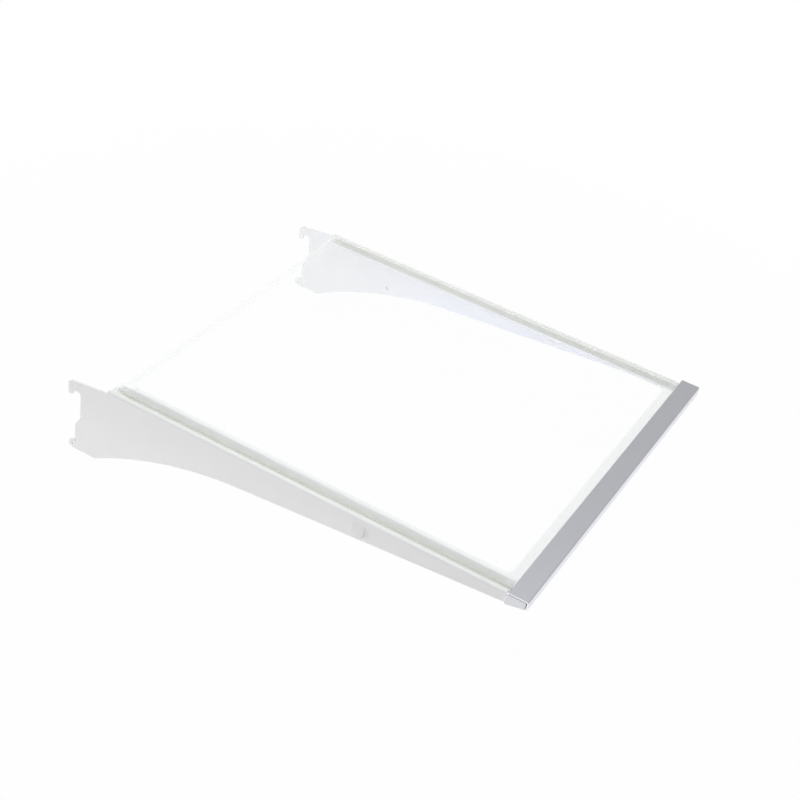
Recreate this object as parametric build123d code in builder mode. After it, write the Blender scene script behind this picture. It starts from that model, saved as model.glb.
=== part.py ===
from build123d import *
import os
from math import acos, atan2, cos, sin

os.makedirs("parts", exist_ok=True)

# Cantilevered glass shelf of a refrigerator, in millimetres.
# +X is to the right seen from the front, +Y to the rear, +Z up. The origin lies midway between the two
# hooks, on the line where they bear on the slots of the rails, in the plane of the rails' front face.

# Brackets: one sheet steel blank each, with the top edge folded into a rim and a lower seat for the glass
bracket_span = 410.0  # across the outer faces of the two plates
sheet = 2.0
bend_radius = 0.6  # inside of the fold
rim_width = 3.9  # from the plate's outer face to the rim's inner edge
seat_drop = 2.4  # seat below the rim
seat_run = 2.0  # width of the slope between the rim and the seat
flange_width = 18.6  # from the plate's outer face to the seat's inner edge
flange_corner = 6.5  # rear inner corner of the seat
flange_length = 432.8
flange_rise = 18.5  # top of the rim above the line where the hooks bear
flange_setback = 37.5  # rear end of the flange ahead of the rails' face
relief_width = 2.2  # slot between the flange and the arm, which lets the flange bend
relief_depth = 5.5  # below the top of the rim

# Rear edge of a bracket: hook, recess, step and eye lug
arm_step = 3.4  # arm's top edge below the rim, beside the relief slot
arm_fall = 5.3  # further drop of the arm's top edge, back to the hook
hook_reach = 9.5  # back of the hook behind the rails' face
hook_corner = 5.5
rail_gap = 3.1  # claw's inner edge behind the rails' face, so the rail's wall fits between
claw_drop = 5.9  # claw's tip below the bearing line
claw_corner = 0.8
throat_recess = 5.8  # plate's edge ahead of the rails' face under the hook
throat_corner = 3.0
step_top = 30.0  # where the recess ends, below the bearing line
step_bottom = 40.5  # where the edge meets the rails' face
step_corner = 4.0
plate_drop = 70.3  # bottom edge below the bearing line
lug_reach = 7.5  # nose of the lug behind the rails' face
lug_radius = 5.0
lug_hole_radius = 1.6
lug_relief_radius = 1.3

# Lower edge of a bracket: a straight taper at the front, then one long concave sweep to the rear
front_height = 11.3  # plate's height at the front end, below the rim's top
sweep_start = 157.0  # ahead of the flange's rear end
sweep_height = 35.3  # plate's height where the sweep starts
sweep_radius = 408.0
heel_corner = 3.0

# Lanced stop on the outer face of a plate, and a mark punched into its inner face
stop_setback = 284.5  # middle of the stop, ahead of the flange's rear end
stop_length = 13.5
stop_top = 7.0  # below the rim's top
stop_height = 11.0
stop_rise = 4.4
stop_wall = 1.4
stop_round = 0.9
mark_setback = 78.0  # ahead of the flange's rear end
mark_drop = 41.5  # below the rim's top
mark_radius = 2.4
mark_depth = 1.4
mark_taper = 20.0

# Glass pane, and the adhesive strips that hold it on the seats
glass_thickness = 3.2
glass_inset = 6.4  # glass edge inside a plate's outer face
glass_setback = 3.5  # glass edge ahead of the flange's rear end
glass_corner = 5.0
glass_edge_round = 0.4
bond_thickness = 0.3
bond_width = 7.5
bond_inset = 1.0  # inside the seat's inner edge
bond_end_gap = 8.0  # from each end of the flange

# Front trim: one extrusion that grips the front edge of the glass
trim_overhang = 2.0  # past a plate's outer face, each side
trim_gap = 2.2  # rear edge of the trim's top ahead of the flange's front end
trim_depth = 19.9
trim_wall = 1.2
trim_skirt = 7.5  # bottom of the front wall below the rim's top
trim_nose_radius = 1.6
trim_grip = 12.0  # reach of the lower leg under the glass
glass_play = 0.3  # between the glass's front edge and the trim

# End caps, which close the trim and take the front ends of the brackets
cap_reveal = 0.8  # open line between a cap and the trim's walls
cap_skirt = 0.6  # bottom of a cap below the plate's front end
cap_rake = 1.7  # lean of a cap's rear edge
cap_rake_height = 7.0
cap_heel_chamfer = 1.6
cap_round = 0.4
tongue_length = 8.0
tongue_margin = 1.6  # tongue inside the plate's height, above and below
fit_gap = 0.15  # clearance between a cap and what it meets


def point_round(centre, radius, angle):
    """Point on a circle, with the angle in radians from straight up, turning to the rear."""
    return (centre[0] + radius * sin(angle), centre[1] + radius * cos(angle))


# Places that more than one piece uses
plate_outside = bracket_span / 2
flange_top = flange_rise
flange_rear = -flange_setback
flange_front = flange_rear - flange_length
flange_inside = plate_outside - flange_width
bend_outside = bend_radius + sheet
bend_start = flange_top - bend_outside
seat_top = flange_top - seat_drop
glass_bottom = seat_top + bond_thickness
glass_top = glass_bottom + glass_thickness
glass_side = plate_outside - glass_inset
glass_rear = flange_rear - glass_setback
trim_rear = flange_front - trim_gap
trim_front = trim_rear - trim_depth
trim_inside = trim_front + trim_wall
trim_bottom = flange_top - trim_skirt
trim_end = plate_outside + trim_overhang
glass_front = trim_inside + glass_play
cap_front = trim_inside + cap_reveal
cap_rear = flange_front - fit_gap
cap_top = glass_top - cap_reveal
tongue_top = bend_start - tongue_margin
tongue_bottom = flange_top - front_height + tongue_margin
tongue_front = flange_front - tongue_length

# Lower edge: the sweep is tangent to the taper and runs down to the bottom edge
taper_front = (flange_front, flange_top - front_height)
taper_rear = (flange_rear - sweep_start, flange_top - sweep_height)
taper_angle = atan2(taper_front[1] - taper_rear[1], taper_rear[0] - taper_front[0])
sweep_centre = (
    taper_rear[0] - sweep_radius * sin(taper_angle),
    taper_rear[1] - sweep_radius * cos(taper_angle),
)
heel_angle = acos((-plate_drop - sweep_centre[1]) / sweep_radius)
sweep_middle = point_round(sweep_centre, sweep_radius, (taper_angle + heel_angle) / 2)
heel = point_round(sweep_centre, sweep_radius, heel_angle)

# Rear edge: corners of the hook, the recess and the lug
arm_front = (flange_rear + relief_width, flange_top - arm_step)
hook_top = (hook_reach, flange_top - arm_step - arm_fall)
claw_radius = (hook_reach - rail_gap) / 2
claw_middle = (hook_reach + rail_gap) / 2
claw_arc = claw_radius - claw_drop
claw_root = (rail_gap, 0)
throat_root = (-throat_recess, 0)
recess_end = (-throat_recess, -step_top)
step_end = (0, -step_bottom)
lug_middle = (lug_reach - lug_radius, lug_radius - plate_drop)
lug_root = (0, 2 * lug_radius - plate_drop)

# Left bracket
with BuildPart() as left_bracket:
    # Plate, drawn on its outer face
    with BuildSketch(Plane.YZ.offset(-plate_outside)) as plate:
        with BuildLine():
            Polyline(
                taper_front,
                (flange_front, bend_start),
                (flange_rear, bend_start),
                arm_front,
                hook_top,
                (hook_reach, claw_arc),
            )
            ThreePointArc((hook_reach, claw_arc), (claw_middle, -claw_drop), (rail_gap, claw_arc))
            Polyline(
                (rail_gap, claw_arc),
                claw_root,
                throat_root,
                recess_end,
                step_end,
                lug_root,
                (lug_middle[0], lug_root[1]),
            )
            ThreePointArc(
                (lug_middle[0], lug_root[1]),
                (lug_reach, lug_middle[1]),
                (lug_middle[0], -plate_drop),
            )
            Line((lug_middle[0], -plate_drop), heel)
            ThreePointArc(heel, sweep_middle, taper_rear)
            Line(taper_rear, taper_front)
        make_face()
        for corner, radius in (
            (hook_top, hook_corner),
            (claw_root, claw_corner),
            (throat_root, throat_corner),
            (recess_end, step_corner),
            (step_end, step_corner),
            (heel, heel_corner),
        ):
            fillet(plate.vertices().sort_by_distance(corner)[0], radius=radius)
        # Tongue that enters the end cap
        with Locations((tongue_front, tongue_bottom)):
            Rectangle(tongue_length, tongue_top - tongue_bottom, align=Align.MIN)
        # Eye of the lug, and the reliefs beside the lug and the flange
        with Locations(lug_middle):
            Circle(lug_hole_radius, mode=Mode.SUBTRACT)
        with Locations(lug_root):
            Circle(lug_relief_radius, mode=Mode.SUBTRACT)
        with Locations((flange_rear + relief_width / 2, flange_top)):
            SlotCenterToCenter(2 * relief_depth - relief_width, relief_width, rotation=90, mode=Mode.SUBTRACT)
    extrude(amount=sheet)
    # Rim and seat, drawn across the shelf at the flange's rear end
    with BuildSketch(Plane.XZ.offset(-flange_rear)):
        with BuildLine():
            FilletPolyline(
                (-plate_outside, bend_start - sheet),
                (-plate_outside, flange_top),
                (rim_width - plate_outside, flange_top),
                (rim_width + seat_run - plate_outside, seat_top),
                (-flange_inside, seat_top),
                radius=bend_outside,
            )
            offset(amount=sheet, side=Side.RIGHT)
        make_face()
    extrude(amount=flange_length)
    seat_corner = (-flange_inside, flange_rear, seat_top)
    fillet(left_bracket.edges().filter_by(Axis.Z).sort_by_distance(seat_corner)[0], radius=flange_corner)
    # Lanced stop: a ramp pushed out of the plate and sheared open along its lower edge
    with BuildSketch(Plane.XZ.offset(stop_setback - flange_rear)):
        with Locations((-plate_outside, flange_top - stop_top)):
            Polygon((0, 0), (-stop_rise, -stop_height), (0, -stop_height), align=None)
    extrude(amount=stop_length / 2, both=True)
    stop_lip = -plate_outside - stop_rise
    stop_edges = left_bracket.edges().filter_by_position(Axis.X, stop_lip, -plate_outside, (True, False))
    fillet(stop_edges.filter_by(Axis.X, reverse=True), radius=stop_round)
    with BuildSketch(Plane.XZ.offset(stop_setback - flange_rear)):
        with Locations((sheet - plate_outside, flange_top - stop_top)):
            Polygon((0, 0), (-stop_rise, -stop_height), (0, -stop_height), align=None)
    extrude(amount=stop_length / 2 - stop_wall, both=True, mode=Mode.SUBTRACT)
    # Punched mark
    with BuildSketch(Plane.YZ.offset(sheet - plate_outside)):
        with Locations((flange_rear - mark_setback, flange_top - mark_drop)):
            Circle(mark_radius)
    extrude(amount=-mark_depth, taper=mark_taper, mode=Mode.SUBTRACT)

# Right bracket, the mirror image of the left one
with BuildPart() as right_bracket:
    mirror(left_bracket.part, about=Plane.YZ)

# Glass pane with rounded corners and ground edges
with BuildPart() as glass_pane:
    with BuildSketch(Plane.XY.offset(glass_bottom)):
        with Locations((0, (glass_rear + glass_front) / 2)):
            RectangleRounded(2 * glass_side, glass_rear - glass_front, glass_corner)
    extrude(amount=glass_thickness)
    rims = glass_pane.edges().group_by(Axis.Z)
    fillet(rims[0] + rims[-1], radius=glass_edge_round)

# Left adhesive strip between the seat and the glass
with BuildPart() as left_bond_strip:
    with BuildSketch(Plane.XY.offset(seat_top)):
        with Locations((-flange_inside - bond_inset, flange_front + bond_end_gap)):
            Rectangle(bond_width, flange_length - 2 * bond_end_gap, align=(Align.MAX, Align.MIN))
    extrude(amount=bond_thickness)

# Right adhesive strip
with BuildPart() as right_bond_strip:
    mirror(left_bond_strip.part, about=Plane.YZ)

# Front trim
with BuildPart() as front_trim:
    # Top and front wall, along the whole length
    with BuildSketch(Plane.YZ):
        with BuildLine():
            FilletPolyline(
                (trim_rear, glass_top + trim_wall),
                (trim_front, glass_top + trim_wall),
                (trim_front, trim_bottom),
                radius=trim_nose_radius,
            )
            offset(amount=trim_wall, side=Side.LEFT)
        make_face()
    extrude(amount=trim_end, both=True)
    # Lower leg under the glass, cut short of the brackets' flanges
    with BuildSketch(Plane.YZ):
        with Locations((trim_inside, glass_bottom)):
            Rectangle(trim_grip, trim_wall, align=(Align.MIN, Align.MAX))
    extrude(amount=flange_inside - fit_gap, both=True)

# Left end cap: a block under the glass, with an outer wall beside it
with BuildPart() as left_end_cap:
    with BuildSketch(Plane.YZ.offset(-trim_end)) as cap:
        with BuildLine():
            Polyline(
                (cap_front, trim_bottom),
                (cap_front, cap_top),
                (cap_rear - cap_rake, cap_top),
                (cap_rear, cap_top - cap_rake_height),
                (cap_rear, taper_front[1] - cap_skirt),
                close=True,
            )
        make_face()
        chamfer(cap.vertices().sort_by_distance(taper_front)[0], length=cap_heel_chamfer)
    extrude(amount=trim_end - flange_inside)
    fillet(left_end_cap.edges().group_by(Axis.X)[0], radius=cap_round)
    # Room for the glass above the block
    with BuildSketch(Plane.XZ.offset(-flange_front)):
        with Locations((-glass_side - fit_gap, glass_bottom - fit_gap)):
            Rectangle(flange_width, glass_thickness, align=Align.MIN)
    extrude(amount=trim_gap + trim_depth, mode=Mode.SUBTRACT)
    # Slot for the bracket's tongue
    with BuildSketch(Plane.YZ.offset(-plate_outside - fit_gap)):
        with Locations((tongue_front - fit_gap, tongue_bottom - fit_gap)):
            Rectangle(tongue_length + fit_gap, tongue_top - tongue_bottom + 2 * fit_gap, align=Align.MIN)
    extrude(amount=sheet + 2 * fit_gap, mode=Mode.SUBTRACT)

# Right end cap
with BuildPart() as right_end_cap:
    mirror(left_end_cap.part, about=Plane.YZ)

for name, piece in (
    ("left_bracket", left_bracket),
    ("right_bracket", right_bracket),
    ("glass_pane", glass_pane),
    ("left_bond_strip", left_bond_strip),
    ("right_bond_strip", right_bond_strip),
    ("front_trim", front_trim),
    ("left_end_cap", left_end_cap),
    ("right_end_cap", right_end_cap),
):
    piece.part.label = name
    export_step(piece.part, f"parts/{name}.step")
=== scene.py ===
import logging
import math
from dataclasses import dataclass, field
from enum import Enum
from typing import Any

import bpy
from mathutils import Matrix, Vector


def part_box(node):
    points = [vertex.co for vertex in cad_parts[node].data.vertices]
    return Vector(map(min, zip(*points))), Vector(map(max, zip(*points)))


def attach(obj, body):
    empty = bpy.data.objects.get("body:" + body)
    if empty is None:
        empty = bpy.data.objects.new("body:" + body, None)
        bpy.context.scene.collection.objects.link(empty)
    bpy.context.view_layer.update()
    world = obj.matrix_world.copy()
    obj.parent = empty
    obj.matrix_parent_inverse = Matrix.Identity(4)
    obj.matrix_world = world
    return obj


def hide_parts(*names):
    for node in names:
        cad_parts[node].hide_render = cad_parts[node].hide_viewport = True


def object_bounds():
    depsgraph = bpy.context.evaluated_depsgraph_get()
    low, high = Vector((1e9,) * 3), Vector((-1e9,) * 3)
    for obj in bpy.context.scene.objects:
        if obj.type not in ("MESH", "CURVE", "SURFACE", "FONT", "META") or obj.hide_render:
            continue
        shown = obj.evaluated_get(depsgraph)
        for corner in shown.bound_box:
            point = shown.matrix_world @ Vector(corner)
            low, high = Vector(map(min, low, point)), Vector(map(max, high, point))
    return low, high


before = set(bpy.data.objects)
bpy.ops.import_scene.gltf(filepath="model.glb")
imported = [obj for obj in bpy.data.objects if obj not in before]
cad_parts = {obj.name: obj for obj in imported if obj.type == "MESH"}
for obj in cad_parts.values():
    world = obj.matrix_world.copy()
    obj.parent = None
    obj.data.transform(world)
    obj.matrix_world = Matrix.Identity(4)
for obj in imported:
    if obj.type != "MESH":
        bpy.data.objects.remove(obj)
cad_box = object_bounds()

# Refrigerator glass shelf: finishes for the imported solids, and a plain white studio around them.
# Lengths are in metres. +X is to the right seen from the front of the shelf, +Y to the rear and +Z up.

log = logging.getLogger("shelf")

Colour = tuple[float, float, float]
MILLIMETRE = 0.001
BODY = "root"
WHITE: Colour = (1.0, 1.0, 1.0)
NOISE_RANGE = (0.3, 0.7)  # where nearly all values of a noise lie
MIX_INPUTS = (0, 6, 7)  # numbers of a Mix node's factor and its two colours
MIX_RESULT = 2  # number of its mixed colour


class Slot(Enum):
    """Material slots of the record that the pieces take their finishes from."""

    STEEL = "coated_steel"
    GLASS = "pane_glass"
    ADHESIVE = "adhesive"
    SILVER = "satin_silver"
    PLASTIC = "cap_plastic"


class Side(Enum):
    """Sides of the shelf, seen from the front."""

    LEFT = "left"
    RIGHT = "right"


class Ray(Enum):
    """Kinds of ray that see the bright backdrop instead of the light it gives."""

    CAMERA = "Is Camera Ray"
    GLOSSY = "Is Glossy Ray"
    TRANSMISSION = "Is Transmission Ray"


class Graph:
    """A node tree that is written as a list of steps."""

    def __init__(self, tree: bpy.types.NodeTree) -> None:
        """Start from an empty tree.

        Args:
            tree: Node tree of a material, a world or a group.
        """
        self.tree = tree
        tree.nodes.clear()

    def feed(self, node: bpy.types.Node, inputs: dict[Any, Any]) -> None:
        """Link a node's inputs, or set them to constants.

        Args:
            node: The node.
            inputs: Input name or number, to the socket that feeds it or its own constant.
        """
        for name, value in inputs.items():
            if isinstance(value, bpy.types.NodeSocket):
                self.tree.links.new(value, node.inputs[name])
            else:
                node.inputs[name].default_value = value

    def node(self, kind: str, inputs: dict[Any, Any] | None = None, **settings: Any) -> bpy.types.Node:
        """Add a node, and set or link its inputs.

        Args:
            kind: Blender's name of the node type.
            inputs: Input name or number, to the socket that feeds it or its own constant.
            settings: Properties of the node.

        Returns:
            The new node.
        """
        made = self.tree.nodes.new(kind)
        for name, value in settings.items():
            setattr(made, name, value)
        self.feed(made, inputs or {})
        return made

    def math(self, operation: str, *values: Any) -> bpy.types.NodeSocket:
        """Add a Math node.

        Args:
            operation: What the node does with its values.
            values: Sockets or constants, in order.

        Returns:
            The result's socket.
        """
        return self.node("ShaderNodeMath", dict(enumerate(values)), operation=operation).outputs[0]

    def vector(self, operation: str, *values: Any) -> bpy.types.Node:
        """Add a Vector Math node.

        Args:
            operation: What the node does with its values.
            values: Sockets or constants, in order.

        Returns:
            The node, whose result is a vector or a value.
        """
        return self.node("ShaderNodeVectorMath", dict(enumerate(values)), operation=operation)

    def ramp(self, value: Any, low: float, high: float, start: Any, end: Any) -> bpy.types.NodeSocket:
        """Map a value from one range to another, without going past its ends.

        Args:
            value: Socket to map.
            low: Value that gives the start.
            high: Value that gives the end.
            start: Result at the low value.
            end: Result at the high value.

        Returns:
            The result's socket.
        """
        inputs = {"Value": value, "From Min": low, "From Max": high, "To Min": start, "To Max": end}
        return self.node("ShaderNodeMapRange", inputs).outputs["Result"]

    def blend(self, mask: Any, first: Any, second: Any) -> bpy.types.NodeSocket:
        """Mix two colours.

        Args:
            mask: Share of the second colour.
            first: Colour where the mask is 0.
            second: Colour where the mask is 1.

        Returns:
            The mixed colour's socket.
        """
        inputs = dict(zip(MIX_INPUTS, (mask, first, second)))
        return self.node("ShaderNodeMix", inputs, data_type="RGBA").outputs[MIX_RESULT]

    def mix(self, share: Any, first: bpy.types.Node, second: bpy.types.Node) -> bpy.types.Node:
        """Mix two shaders.

        Args:
            share: Share of the second shader.
            first: Shader where the share is 0.
            second: Shader where the share is 1.

        Returns:
            The Mix Shader node.
        """
        return self.node("ShaderNodeMixShader", {0: share, 1: first.outputs[0], 2: second.outputs[0]})

    def group(self, shared: bpy.types.NodeTree, inputs: dict[str, Any]) -> bpy.types.Node:
        """Place a shared node group.

        Args:
            shared: The group's tree.
            inputs: Input name, to the socket that feeds it or its own constant.

        Returns:
            The group node.
        """
        return self.node("ShaderNodeGroup", inputs, node_tree=shared)

    def relief(self, height: Any, depth: float, strength: float) -> bpy.types.NodeSocket:
        """Add a Bump node.

        Args:
            height: Socket of the pattern.
            depth: How deep the pattern is.
            strength: How much of it shows.

        Returns:
            The normal's socket.
        """
        inputs = {"Height": height, "Distance": depth, "Strength": strength}
        return self.node("ShaderNodeBump", inputs).outputs["Normal"]

    def show(self, surface: bpy.types.Node, volume: bpy.types.Node | None = None) -> None:
        """Send a material's shaders to its output.

        Args:
            surface: Shader of the surface.
            volume: Shader of what lies inside, if there is one.
        """
        output = self.node("ShaderNodeOutputMaterial", {"Surface": surface.outputs[0]})
        if volume:
            self.feed(output, {"Volume": volume.outputs[0]})


def opaque(colour: Colour) -> tuple[float, float, float, float]:
    """Return a colour with full alpha, as Blender's sockets want it."""
    return (*colour, 1.0)


def shared_group(name: str, inputs: dict[str, str], outputs: dict[str, str]) -> tuple[Graph, Any, Any]:
    """Start a shader node group.

    Args:
        name: The group's name.
        inputs: Input name to socket type.
        outputs: Output name to socket type.

    Returns:
        The group's graph, the sockets that bring its inputs, and the node that takes its outputs.
    """
    tree = bpy.data.node_groups.new(name, "ShaderNodeTree")
    for socket, kind in inputs.items():
        tree.interface.new_socket(name=socket, in_out="INPUT", socket_type=kind)
    for socket, kind in outputs.items():
        tree.interface.new_socket(name=socket, in_out="OUTPUT", socket_type=kind)
    graph = Graph(tree)
    return graph, graph.node("NodeGroupInput").outputs, graph.node("NodeGroupOutput")


def make_grain_group() -> bpy.types.NodeTree:
    """Make the group for a fine grain with a slow change of tone.

    Returns:
        A group that takes a place and a grain size, and gives a height and a tone, both about 0.5.
    """
    tone_stretch = 40.0
    fine_detail = 3.0
    tone_detail = 2.0
    graph, given, result = shared_group(
        "grain",
        {"Place": "NodeSocketVector", "Grain Size": "NodeSocketFloat"},
        {"Height": "NodeSocketFloat", "Tone": "NodeSocketFloat"},
    )
    fine_scale = graph.math("DIVIDE", 1.0, given["Grain Size"])
    tone_scale = graph.math("DIVIDE", fine_scale, tone_stretch)
    for output, scale, detail in (("Height", fine_scale, fine_detail), ("Tone", tone_scale, tone_detail)):
        inputs = {"Vector": given["Place"], "Scale": scale, "Detail": detail}
        noise = graph.node("ShaderNodeTexNoise", inputs)
        graph.feed(result, {output: noise.outputs["Fac"]})
    return graph.tree


GRAIN = make_grain_group()


def grain_at(graph: Graph, place: Any, size: float) -> tuple[bpy.types.NodeSocket, bpy.types.NodeSocket]:
    """Place the shared grain in a material.

    Args:
        graph: Graph of the material.
        place: Socket of the place.
        size: Size of a grain.

    Returns:
        The sockets of its height and its tone.
    """
    grain = graph.group(GRAIN, {"Place": place, "Grain Size": size})
    return grain.outputs["Height"], grain.outputs["Tone"]


@dataclass(frozen=True)
class Finish:
    """What every finish has: a slot of the record, and a material with a Principled shader."""

    slot: Slot

    def start(self) -> tuple[bpy.types.Material, Graph, bpy.types.Node, bpy.types.NodeSocket]:
        """Make the material and its shader.

        Returns:
            The material, its graph, the shader and the socket of the piece's own coordinates.
        """
        material = bpy.data.materials.new(f"{self.slot.value}_finish")
        material.use_nodes = True
        graph = Graph(material.node_tree)
        shader = graph.node("ShaderNodeBsdfPrincipled")
        place = graph.node("ShaderNodeTexCoord").outputs["Object"]
        return material, graph, shader, place

    def facing(self, graph: Graph) -> Any:
        """Return the X, Y and Z sockets of the way that the surface faces."""
        normal = graph.node("ShaderNodeTexCoord").outputs["Normal"]
        return graph.node("ShaderNodeSeparateXYZ", {"Vector": normal}).outputs


@dataclass(frozen=True)
class PowderCoat(Finish):
    """White powder coat on steel: satin, with a slight orange peel."""

    slot: Slot = Slot.STEEL
    light: Colour = (0.9, 0.9, 0.885)
    dark: Colour = (0.87, 0.87, 0.855)
    grain_size: float = 1.1 * MILLIMETRE
    peel_height: float = 0.03 * MILLIMETRE
    peel_strength: float = 0.6
    roughness: tuple[float, float] = (0.36, 0.46)

    def material(self) -> bpy.types.Material:
        """Make the material.

        Returns:
            The finished material.
        """
        material, graph, shader, place = self.start()
        height, tone = grain_at(graph, place, self.grain_size)
        colour = graph.blend(tone, opaque(self.dark), opaque(self.light))
        rough = graph.ramp(tone, *NOISE_RANGE, *self.roughness)
        peel = graph.relief(height, self.peel_height, self.peel_strength)
        graph.feed(shader, {"Base Color": colour, "Roughness": rough, "Normal": peel})
        graph.show(shader)
        return material


@dataclass(frozen=True)
class PaneGlass(Finish):
    """Clear float glass with ground edges, faintly green through its depth."""

    slot: Slot = Slot.GLASS
    clear_colour: Colour = (0.995, 0.997, 0.997)
    edge_colour: Colour = (0.94, 0.955, 0.885)
    edge_roughness: float = 0.5
    edge_cover: float = 0.8
    edge_pass: float = 0.4
    rear_pass: float = 0.95
    edge_slopes: tuple[float, float] = (0.35, 0.9)
    grain_size: float = 0.25 * MILLIMETRE
    grind_depth: float = 0.02 * MILLIMETRE
    grind_strength: float = 0.5
    index: float = 1.52
    tint: Colour = (0.4, 0.8, 0.42)
    tint_density: float = 2.0
    shadow_colour: Colour = (0.985, 0.988, 0.99)

    def ground_edge(self, graph: Graph, sides: Any) -> bpy.types.Node:
        """Make the shader of a ground edge, which is lit from both sides.

        Args:
            graph: Graph of the material.
            sides: Sockets of the way that the surface faces.

        Returns:
            The shader, which passes most light where the edge faces the rear or the front.
        """
        paint = {"Color": opaque(self.edge_colour)}
        lit = graph.node("ShaderNodeBsdfDiffuse", paint)
        lit_through = graph.node("ShaderNodeBsdfTranslucent", paint)
        lengthways = graph.math("ABSOLUTE", sides["Y"])
        passed = graph.ramp(lengthways, *self.edge_slopes, self.edge_pass, self.rear_pass)
        return graph.mix(passed, lit, lit_through)

    def material(self) -> bpy.types.Material:
        """Make the material, which lets shadow rays and diffuse rays through.

        Returns:
            The finished material.
        """
        material, graph, shader, place = self.start()
        sides = self.facing(graph)
        edge = graph.ramp(graph.math("ABSOLUTE", sides["Z"]), *self.edge_slopes, 1.0, 0.0)
        height, _ = grain_at(graph, place, self.grain_size)
        grind = graph.relief(graph.math("MULTIPLY", edge, height), self.grind_depth, self.grind_strength)
        colour = graph.blend(edge, opaque(self.clear_colour), opaque(self.edge_colour))
        rough = graph.math("MULTIPLY", edge, self.edge_roughness)
        graph.feed(shader, {"Base Color": colour, "Roughness": rough, "Normal": grind})
        graph.feed(shader, {"Transmission Weight": 1.0, "IOR": self.index})
        cover = graph.math("MULTIPLY", edge, self.edge_cover)
        pane = graph.mix(cover, shader, self.ground_edge(graph, sides))
        path = graph.node("ShaderNodeLightPath").outputs
        passing = graph.math("MAXIMUM", path["Is Shadow Ray"], path["Is Diffuse Ray"])
        clear = graph.node("ShaderNodeBsdfTransparent", {"Color": opaque(self.shadow_colour)})
        depth = {"Color": opaque(self.tint), "Density": self.tint_density}
        graph.show(graph.mix(passing, pane, clear), graph.node("ShaderNodeVolumeAbsorption", depth))
        return material


@dataclass(frozen=True)
class FrostPrint(Finish):
    """Milky frosting under the rim of the pane, with a rounded and slightly soft inner edge, painted
    light along the rear and painted shade along the sides.
    """

    slot: Slot = Slot.GLASS
    name: str = "frost_print"
    centre: tuple[float, float] = (0.0, 0.0)
    clear_half: tuple[float, float] = (0.18, 0.2)
    clear_corner: float = 8 * MILLIMETRE
    fade: float = 2 * MILLIMETRE
    light: Colour = (0.86, 0.865, 0.855)
    dark: Colour = (0.82, 0.825, 0.815)
    # Painted light: the rear strip is painted paler, standing in for light that the frosting scatters up
    # from below.
    rear_painted_light: Colour = (0.97, 0.97, 0.96)
    grain_size: float = 0.3 * MILLIMETRE
    roughness: tuple[float, float] = (0.5, 0.65)
    cover: float = 0.22
    rear_cover: float = 0.1
    rear_fade: float = 6 * MILLIMETRE
    # Painted shade: the frosting along the side edges is painted darker and greener, standing in for the
    # shaded seats seen through the green glass.
    rim_painted_shade: Colour = (0.785, 0.8, 0.71)
    rim_cover: float = 0.25
    rim_half: float = 0.1985
    rim_fade: tuple[float, float] = (9 * MILLIMETRE, 2.5 * MILLIMETRE)

    def beyond(self, graph: Graph, place: Any) -> bpy.types.NodeSocket:
        """Measure how far a place lies outside the clear middle.

        Args:
            graph: Graph of the material.
            place: Socket of the place.

        Returns:
            The distance's socket, which is below zero inside.
        """
        inner = tuple(half - self.clear_corner for half in self.clear_half)
        back = (-self.centre[0], -self.centre[1], 0.0)
        middle = graph.node("ShaderNodeMapping", {"Vector": place, "Location": back})
        flat = graph.vector("MULTIPLY", middle.outputs[0], (1.0, 1.0, 0.0)).outputs[0]
        quarter = graph.vector("ABSOLUTE", flat).outputs[0]
        outside = graph.vector("SUBTRACT", quarter, (*inner, 0.0)).outputs[0]
        reach = graph.vector("MAXIMUM", outside, (0.0, 0.0, 0.0)).outputs[0]
        return graph.math("SUBTRACT", graph.vector("LENGTH", reach).outputs["Value"], self.clear_corner)

    def material(self) -> bpy.types.Material:
        """Make the material, with painted light that makes it paler along the rear, and painted shade,
        tinted green, that makes it darker and greener along the sides.

        Returns:
            The finished material.
        """
        material, graph, shader, place = self.start()
        material.name = self.name
        height, tone = grain_at(graph, place, self.grain_size)
        across, depth, _ = graph.node("ShaderNodeSeparateXYZ", {"Vector": place}).outputs
        rear_edge = self.centre[1] + self.clear_half[1]
        rear = graph.ramp(depth, rear_edge - self.rear_fade, rear_edge, 0.0, 1.0)
        inward = graph.math("SUBTRACT", self.rim_half, graph.math("ABSOLUTE", across))
        rim = graph.ramp(inward, *self.rim_fade, 0.0, 1.0)
        even = graph.blend(height, opaque(self.dark), opaque(self.light))
        # Painted light: the frosting is painted paler towards the rear edge.
        paler_painted_light = graph.blend(rear, even, opaque(self.rear_painted_light))
        # Painted shade, tinted green, along the side edges.
        colour = graph.blend(rim, paler_painted_light, opaque(self.rim_painted_shade))
        rough = graph.ramp(tone, *NOISE_RANGE, *self.roughness)
        thinner = graph.ramp(rear, 0.0, 1.0, self.cover, self.rear_cover)
        density = graph.ramp(rim, 0.0, 1.0, thinner, self.rim_cover)
        milk = graph.ramp(self.beyond(graph, place), -self.fade / 2, self.fade / 2, 0.0, density)
        graph.feed(shader, {"Base Color": colour, "Roughness": rough, "Alpha": milk})
        graph.show(shader)
        return material


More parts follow.
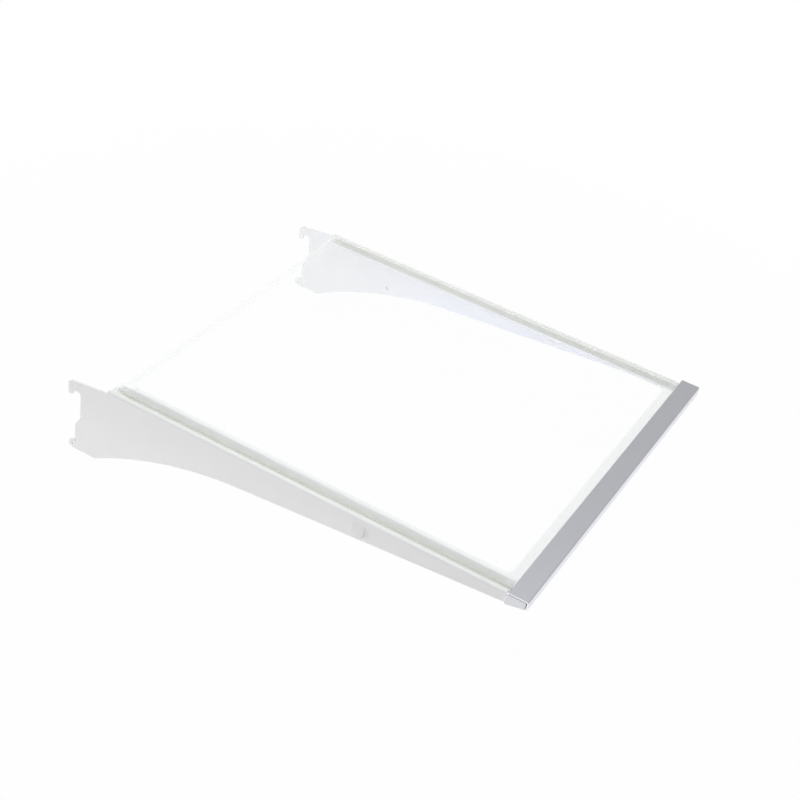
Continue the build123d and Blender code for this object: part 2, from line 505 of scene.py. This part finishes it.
@dataclass(frozen=True)
class SatinSilver(Finish):
    """Satin anodised aluminium with fine drawing lines along it, and a painted reflection and a painted
    highlight that make its front face and cut ends brighter.
    """

    slot: Slot = Slot.SILVER
    light: Colour = (0.395, 0.4, 0.425)
    dark: Colour = (0.365, 0.37, 0.39)
    # Painted reflection: the front face is painted brighter, standing in for the bright floor that it
    # reflects.
    front_painted_reflection: Colour = (0.5, 0.5, 0.52)
    # Painted highlight: the cut ends are painted brighter.
    end_painted_highlight: Colour = (0.7, 0.7, 0.72)
    face_slopes: tuple[float, float] = (0.6, 0.98)
    grain_size: float = 0.35 * MILLIMETRE
    line_stretch: float = 0.02
    line_height: float = 0.004 * MILLIMETRE
    line_strength: float = 0.5
    roughness: tuple[float, float] = (0.3, 0.4)

    def material(self) -> bpy.types.Material:
        """Make the material.

        Returns:
            The finished material.
        """
        material, graph, shader, place = self.start()
        drawn = graph.node("ShaderNodeMapping", {"Vector": place, "Scale": (self.line_stretch, 1.0, 1.0)})
        height, _ = grain_at(graph, drawn.outputs[0], self.grain_size)
        sides = self.facing(graph)
        front = graph.ramp(graph.math("MULTIPLY", sides["Y"], -1.0), *self.face_slopes, 0.0, 1.0)
        end = graph.ramp(graph.math("ABSOLUTE", sides["X"]), *self.face_slopes, 0.0, 1.0)
        satin = graph.blend(height, opaque(self.dark), opaque(self.light))
        # Painted reflection on the front face.
        with_front_reflection = graph.blend(front, satin, opaque(self.front_painted_reflection))
        # Painted highlight on the cut ends.
        colour = graph.blend(end, with_front_reflection, opaque(self.end_painted_highlight))
        rough = graph.ramp(height, *NOISE_RANGE, *self.roughness)
        lines = graph.relief(height, self.line_height, self.line_strength)
        graph.feed(shader, {"Base Color": colour, "Roughness": rough, "Normal": lines, "Metallic": 1.0})
        graph.show(shader)
        return material


@dataclass(frozen=True)
class GrainedPlastic(Finish):
    """Pale grey moulded plastic with a fine matt grain."""

    slot: Slot = Slot.PLASTIC
    light: Colour = (0.93, 0.935, 0.955)
    dark: Colour = (0.89, 0.895, 0.915)
    grain_size: float = 0.4 * MILLIMETRE
    grain_height: float = 0.02 * MILLIMETRE
    grain_strength: float = 0.5
    roughness: tuple[float, float] = (0.45, 0.58)

    def material(self) -> bpy.types.Material:
        """Make the material.

        Returns:
            The finished material.
        """
        material, graph, shader, place = self.start()
        height, tone = grain_at(graph, place, self.grain_size)
        colour = graph.blend(tone, opaque(self.dark), opaque(self.light))
        rough = graph.ramp(height, *NOISE_RANGE, *self.roughness)
        matt = graph.relief(height, self.grain_height, self.grain_strength)
        graph.feed(shader, {"Base Color": colour, "Roughness": rough, "Normal": matt})
        graph.show(shader)
        return material


@dataclass(frozen=True)
class BondingStrip(Finish):
    """Pale adhesive strip, slightly uneven where it was pressed flat."""

    slot: Slot = Slot.ADHESIVE
    light: Colour = (0.815, 0.8, 0.77)
    dark: Colour = (0.775, 0.76, 0.73)
    grain_size: float = 0.6 * MILLIMETRE
    roughness: tuple[float, float] = (0.35, 0.6)

    def material(self) -> bpy.types.Material:
        """Make the material.

        Returns:
            The finished material.
        """
        material, graph, shader, place = self.start()
        height, tone = grain_at(graph, place, self.grain_size)
        colour = graph.blend(height, opaque(self.dark), opaque(self.light))
        rough = graph.ramp(tone, *NOISE_RANGE, *self.roughness)
        graph.feed(shader, {"Base Color": colour, "Roughness": rough})
        graph.show(shader)
        return material


def dress(piece: bpy.types.Object, material: bpy.types.Material) -> None:
    """Give a piece one material all over.

    Args:
        piece: A CAD node's object or a new piece.
        material: The finish.
    """
    piece.data.materials.clear()
    piece.data.materials.append(material)
    log.info("%s: %s", piece.name, material.name)


@dataclass
class Brackets:
    """The two folded steel brackets, and the beads that bond the pane on them."""

    coat: PowderCoat = field(default_factory=PowderCoat)
    strip: BondingStrip = field(default_factory=BondingStrip)
    bead_gap: float = 0.1 * MILLIMETRE
    bead_round: float = 0.08 * MILLIMETRE
    bead_segments: int = 3

    def build_bead(self, side: Side) -> bpy.types.Object:
        """Model a bead of adhesive just under the glass, with its edges squeezed round.

        Args:
            side: Which bracket it lies on.

        Returns:
            The bead, in place of the strip's solid.
        """
        node = f"{side.value}_bond_strip"
        low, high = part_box(node)
        high = high - Vector((0.0, 0.0, self.bead_gap))
        bpy.ops.object.select_all(action="DESELECT")
        bpy.ops.mesh.primitive_cube_add(size=1.0)
        bead = bpy.context.object
        bead.name = f"{side.value}_bond_bead"
        bpy.ops.object.mode_set(mode="EDIT")
        bpy.ops.transform.resize(value=tuple(high - low))
        bpy.ops.transform.translate(value=tuple((low + high) / 2))
        bpy.ops.mesh.bevel(offset=self.bead_round, segments=self.bead_segments, affect="EDGES")
        bpy.ops.object.mode_set(mode="OBJECT")
        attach(bead, BODY)
        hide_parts(node)
        return bead

    def dress(self) -> None:
        """Coat the brackets, and build and finish the beads."""
        coat = self.coat.material()
        adhesive = self.strip.material()
        for side in Side:
            dress(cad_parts[f"{side.value}_bracket"], coat)
            dress(self.build_bead(side), adhesive)


@dataclass
class Pane:
    """The glass pane, with the frosted border that hides where it is bonded."""

    glass: PaneGlass = field(default_factory=PaneGlass)
    side_border: float = 17.1 * MILLIMETRE
    rear_border: float = 9 * MILLIMETRE
    front_border: float = 28.7 * MILLIMETRE
    front_start: float = 12.5 * MILLIMETRE
    print_margin: float = 1.6 * MILLIMETRE
    print_overlap: float = 2.5 * MILLIMETRE
    print_gap: float = 0.03 * MILLIMETRE
    print_thickness: float = 0.04 * MILLIMETRE
    corner_radius: float = 3.4 * MILLIMETRE
    corner_segments: int = 6

    def build_print(self) -> bpy.types.Object:
        """Model the frosting as a thin frame just under the pane.

        Returns:
            The frame.
        """
        low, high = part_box("glass_pane")
        outer_low = Vector((low.x + self.print_margin, low.y + self.front_start, 0.0))
        outer_high = Vector((high.x - self.print_margin, high.y - self.print_margin, 0.0))
        inner_low = Vector((low.x + self.side_border, low.y + self.front_border, 0.0))
        inner_high = Vector((high.x - self.side_border, high.y - self.rear_border, 0.0))
        inset = Vector((self.print_overlap, self.print_overlap, 0.0))
        height = low.z - self.print_gap - self.print_thickness / 2
        frost = self.lay_plane("frost_border", outer_low, outer_high, height)
        self.open_frame(frost, inner_low + inset, inner_high - inset, height)
        self.round_corners(frost)
        thicken = frost.modifiers.new("thickness", "SOLIDIFY")
        thicken.thickness = self.print_thickness
        thicken.offset = 0.0
        bpy.ops.object.modifier_apply(modifier=thicken.name)
        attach(frost, BODY)
        return frost

    def lay_plane(self, name: str, low: Vector, high: Vector, height: float) -> bpy.types.Object:
        """Add a level rectangle and leave it in edit mode.

        Args:
            name: The piece's name.
            low: Its corner with the least X and Y.
            high: Its corner with the greatest X and Y.
            height: Its level.

        Returns:
            The rectangle's object.
        """
        bpy.ops.object.select_all(action="DESELECT")
        bpy.ops.mesh.primitive_plane_add(size=1.0)
        sheet = bpy.context.object
        sheet.name = name
        size = (high.x - low.x, high.y - low.y, 1.0)
        middle = (low + high) / 2
        bpy.ops.object.mode_set(mode="EDIT")
        bpy.ops.transform.resize(value=size, center_override=(0.0, 0.0, 0.0))
        bpy.ops.transform.translate(value=(middle.x, middle.y, height))
        return sheet

    def open_frame(self, frost: bpy.types.Object, low: Vector, high: Vector, height: float) -> None:
        """Inset a rectangle to a frame round an opening.

        Args:
            frost: The rectangle, in edit mode.
            low: The opening's corner with the least X and Y.
            high: Its corner with the greatest X and Y.
            height: Its level.
        """
        bpy.ops.mesh.inset(thickness=self.print_margin)
        frost.update_from_editmode()
        chosen = [vertex.co for vertex in frost.data.vertices if vertex.select]
        old_low = Vector((min(place.x for place in chosen), min(place.y for place in chosen), height))
        old_high = Vector((max(place.x for place in chosen), max(place.y for place in chosen), height))
        old_middle = (old_low + old_high) / 2
        old_size = old_high - old_low
        growth = ((high.x - low.x) / old_size.x, (high.y - low.y) / old_size.y, 1.0)
        bpy.ops.transform.resize(value=growth, center_override=tuple(old_middle))
        shift = (low + high) / 2 - old_middle
        bpy.ops.transform.translate(value=(shift.x, shift.y, 0.0))
        bpy.ops.mesh.delete(type="ONLY_FACE")

    def round_corners(self, frost: bpy.types.Object) -> None:
        """Round the frame's outer corners and leave edit mode.

        Args:
            frost: The frame, in edit mode.
        """
        bpy.ops.mesh.select_all(action="DESELECT")
        bpy.ops.object.mode_set(mode="OBJECT")
        widest = max(vertex.co.x for vertex in frost.data.vertices)
        for vertex in frost.data.vertices:
            vertex.select = abs(vertex.co.x) > widest - self.print_overlap
        bpy.ops.object.mode_set(mode="EDIT")
        bpy.ops.mesh.bevel(offset=self.corner_radius, segments=self.corner_segments, affect="VERTICES")
        bpy.ops.object.mode_set(mode="OBJECT")

    def dress(self) -> None:
        """Finish the glass, and lay the frosting out from the pane's own box."""
        low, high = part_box("glass_pane")
        half_width = (high.x - low.x) / 2
        front = low.y + self.front_border
        rear = high.y - self.rear_border
        frosting = FrostPrint(
            centre=((low.x + high.x) / 2, (front + rear) / 2),
            clear_half=(half_width - self.side_border, (rear - front) / 2),
            rim_half=half_width,
        )
        dress(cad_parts["glass_pane"], self.glass.material())
        dress(self.build_print(), frosting.material())


@dataclass
class FrontEdge:
    """The silver trim along the front of the pane, and the caps that close it."""

    silver: SatinSilver = field(default_factory=SatinSilver)
    plastic: GrainedPlastic = field(default_factory=GrainedPlastic)

    def dress(self) -> None:
        """Finish the trim and both caps."""
        dress(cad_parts["front_trim"], self.silver.material())
        plastic = self.plastic.material()
        for side in Side:
            dress(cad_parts[f"{side.value}_end_cap"], plastic)


@dataclass(frozen=True)
class Softbox:
    """A square area lamp that looks at the middle of the shelf, or at a point beside it."""

    name: str
    towards: tuple[float, float, float]
    distance: float
    width: float
    brightness: float
    colour: Colour
    mirrored: bool = True
    shift: tuple[float, float, float] = (0.0, 0.0, 0.0)

    def place(self, middle: Vector) -> bpy.types.Object:
        """Hang the lamp.

        Args:
            middle: Middle of the shelf.

        Returns:
            The lamp.
        """
        bpy.ops.object.light_add(type="AREA")
        lamp = bpy.context.object
        lamp.name = self.name
        lamp.data.shape = "SQUARE"
        lamp.data.size = self.width
        lamp.data.energy = self.brightness * math.pi * self.width**2
        lamp.data.color = self.colour
        away = Vector(self.towards).normalized()
        lamp.location = middle + Vector(self.shift) + away * self.distance
        lamp.rotation_euler = away.to_track_quat("Z", "Y").to_euler()
        lamp.visible_camera = False
        lamp.visible_transmission = False
        lamp.visible_glossy = self.mirrored
        return lamp


# Lamps above, behind and beside the shelf. The last two lie level just above the floor, and stand for the
# light that a bright table throws up at the brackets.
LAMPS = (
    Softbox("top_softbox", (0.0, 0.0, 1.0), distance=2.2, width=4.0, brightness=0.62, colour=WHITE),
    Softbox(
        "rear_softbox",
        (-0.1, 0.94, 0.475),
        distance=1.06,
        width=0.6,
        brightness=1.0,
        colour=(0.78, 0.87, 1.0),
        mirrored=False,
    ),
    Softbox(
        "upper_softbox",
        (-0.2, -0.05, 0.6),
        distance=0.6,
        width=0.5,
        brightness=1.5,
        colour=(0.9, 0.94, 1.0),
    ),
    Softbox(
        "far_softbox",
        (0.28, 0.08, 0.58),
        distance=0.65,
        width=0.5,
        brightness=1.1,
        colour=(1.0, 0.99, 0.97),
        mirrored=False,
    ),
    Softbox(
        "left_softbox",
        (-0.47, 0.88, 0.04),
        distance=2.4,
        width=0.7,
        brightness=10.0,
        colour=(1.0, 0.97, 0.95),
        mirrored=False,
    ),
    Softbox(
        "side_softbox",
        (-1.0, 0.1, 0.0),
        distance=1.0,
        width=0.3,
        brightness=1.6,
        colour=(1.0, 0.93, 0.8),
        mirrored=False,
    ),
    Softbox(
        "table_softbox",
        (0.0, 0.0, -1.0),
        distance=48 * MILLIMETRE,
        width=1.0,
        brightness=0.43,
        colour=(0.93, 0.935, 1.0),
    ),
    Softbox(
        "shelf_softbox",
        (0.0, 0.0, -1.0),
        distance=47 * MILLIMETRE,
        width=0.4,
        brightness=0.33,
        colour=(0.4, 0.47, 1.0),
        shift=(0.05, -0.08, 0.0),
    ),
)


@dataclass
class Studio:
    """White floor, soft light and the camera."""

    lamps: tuple[Softbox, ...] = LAMPS
    floor_width: float = 12.0
    floor_gap: float = 5 * MILLIMETRE
    floor_colour: Colour = (0.85, 0.85, 0.85)
    floor_glow: tuple[float, float] = (0.97, 1.0)
    glow_reach: tuple[float, float] = (0.45, 0.9)
    sky_strength: float = 0.19
    elevation: float = 35.62
    azimuth: float = 294.13
    roll: float = 10.45
    camera_place: tuple[float, float, float] = (-1.1245, -0.7512, 0.8808)
    lens: float = 67.22
    sensor: float = 36.0

    def seen(self, graph: Graph) -> bpy.types.NodeSocket:
        """Tell the rays that see the bright backdrop from those that light the shelf.

        Args:
            graph: Graph of the floor's material or the world.

        Returns:
            A socket that is 1 for the rays in Ray.
        """
        path = graph.node("ShaderNodeLightPath")
        total, *others = (path.outputs[ray.value] for ray in Ray)
        for other in others:
            total = graph.math("MAXIMUM", total, other)
        return total

    def paper(self) -> bpy.types.Material:
        """Make the floor's material: pale paper that looks white, and is see-through from below.

        Returns:
            The material.
        """
        material = bpy.data.materials.new("floor_paper")
        material.use_nodes = True
        graph = Graph(material.node_tree)
        lit = graph.node("ShaderNodeBsdfDiffuse", {"Color": opaque(self.floor_colour)})
        glow = graph.node("ShaderNodeEmission", {"Strength": 1.0})
        place = graph.node("ShaderNodeTexCoord").outputs["Object"]
        middle = (cad_box[0] + cad_box[1]) / 2
        away = graph.vector("DISTANCE", place, tuple(middle)).outputs["Value"]
        glowing = graph.ramp(away, *self.glow_reach, *self.floor_glow)
        above = graph.mix(graph.math("MULTIPLY", self.seen(graph), glowing), lit, glow)
        below = graph.node("ShaderNodeBsdfTransparent")
        graph.show(graph.mix(graph.node("ShaderNodeNewGeometry").outputs["Backfacing"], above, below))
        return material

    def lay_floor(self) -> None:
        """Lay the floor just under the brackets."""
        level = cad_box[0].z - self.floor_gap
        bpy.ops.object.select_all(action="DESELECT")
        bpy.ops.mesh.primitive_plane_add(size=self.floor_width, location=(0.0, 0.0, level))
        floor = bpy.context.object
        floor.name = "floor"
        bpy.ops.object.transform_apply(location=True, rotation=False, scale=False)
        floor.data.materials.append(self.paper())

    def light_sky(self) -> None:
        """Light everything evenly from all round, in front of a white backdrop."""
        world = bpy.data.worlds.new("white_studio")
        world.use_nodes = True
        bpy.context.scene.world = world
        graph = Graph(world.node_tree)
        soft = graph.node("ShaderNodeBackground", {"Color": opaque(WHITE), "Strength": self.sky_strength})
        white = graph.node("ShaderNodeBackground", {"Color": opaque(WHITE), "Strength": 1.0})
        sky = graph.mix(self.seen(graph), soft, white)
        graph.node("ShaderNodeOutputWorld", {"Surface": sky.outputs[0]})

    def hang_lamps(self) -> None:
        """Hang the softboxes round the middle of the shelf."""
        low, high = cad_box
        for lamp in self.lamps:
            lamp.place((low + high) / 2)

    def set_camera(self) -> None:
        """Set the camera at the photograph's viewing angle, with its slight roll."""
        bpy.ops.object.camera_add()
        camera = bpy.context.object
        camera.name = "camera"
        camera.data.lens = self.lens
        camera.data.sensor_width = self.sensor
        rise = math.radians(self.elevation)
        turn = math.radians(self.azimuth)
        back = Vector((math.sin(turn) * math.cos(rise), -math.cos(turn) * math.cos(rise), math.sin(rise)))
        level = back.to_track_quat("Z", "Y").to_matrix().to_4x4()
        tilt = Matrix.Rotation(math.radians(self.roll), 4, "Z")
        camera.matrix_world = Matrix.Translation(self.camera_place) @ level @ tilt
        bpy.context.scene.camera = camera

    def build(self) -> None:
        """Set the whole studio up."""
        self.lay_floor()
        self.light_sky()
        self.hang_lamps()
        self.set_camera()
        bpy.context.scene.view_settings.view_transform = "Standard"


def main() -> None:
    """Dress each sub-assembly, then set up the studio."""
    logging.basicConfig(level=logging.INFO, format="%(name)s: %(message)s")
    for assembly in (Brackets(), Pane(), FrontEdge()):
        assembly.dress()
    Studio().build()


if __name__ == "__main__":
    main()
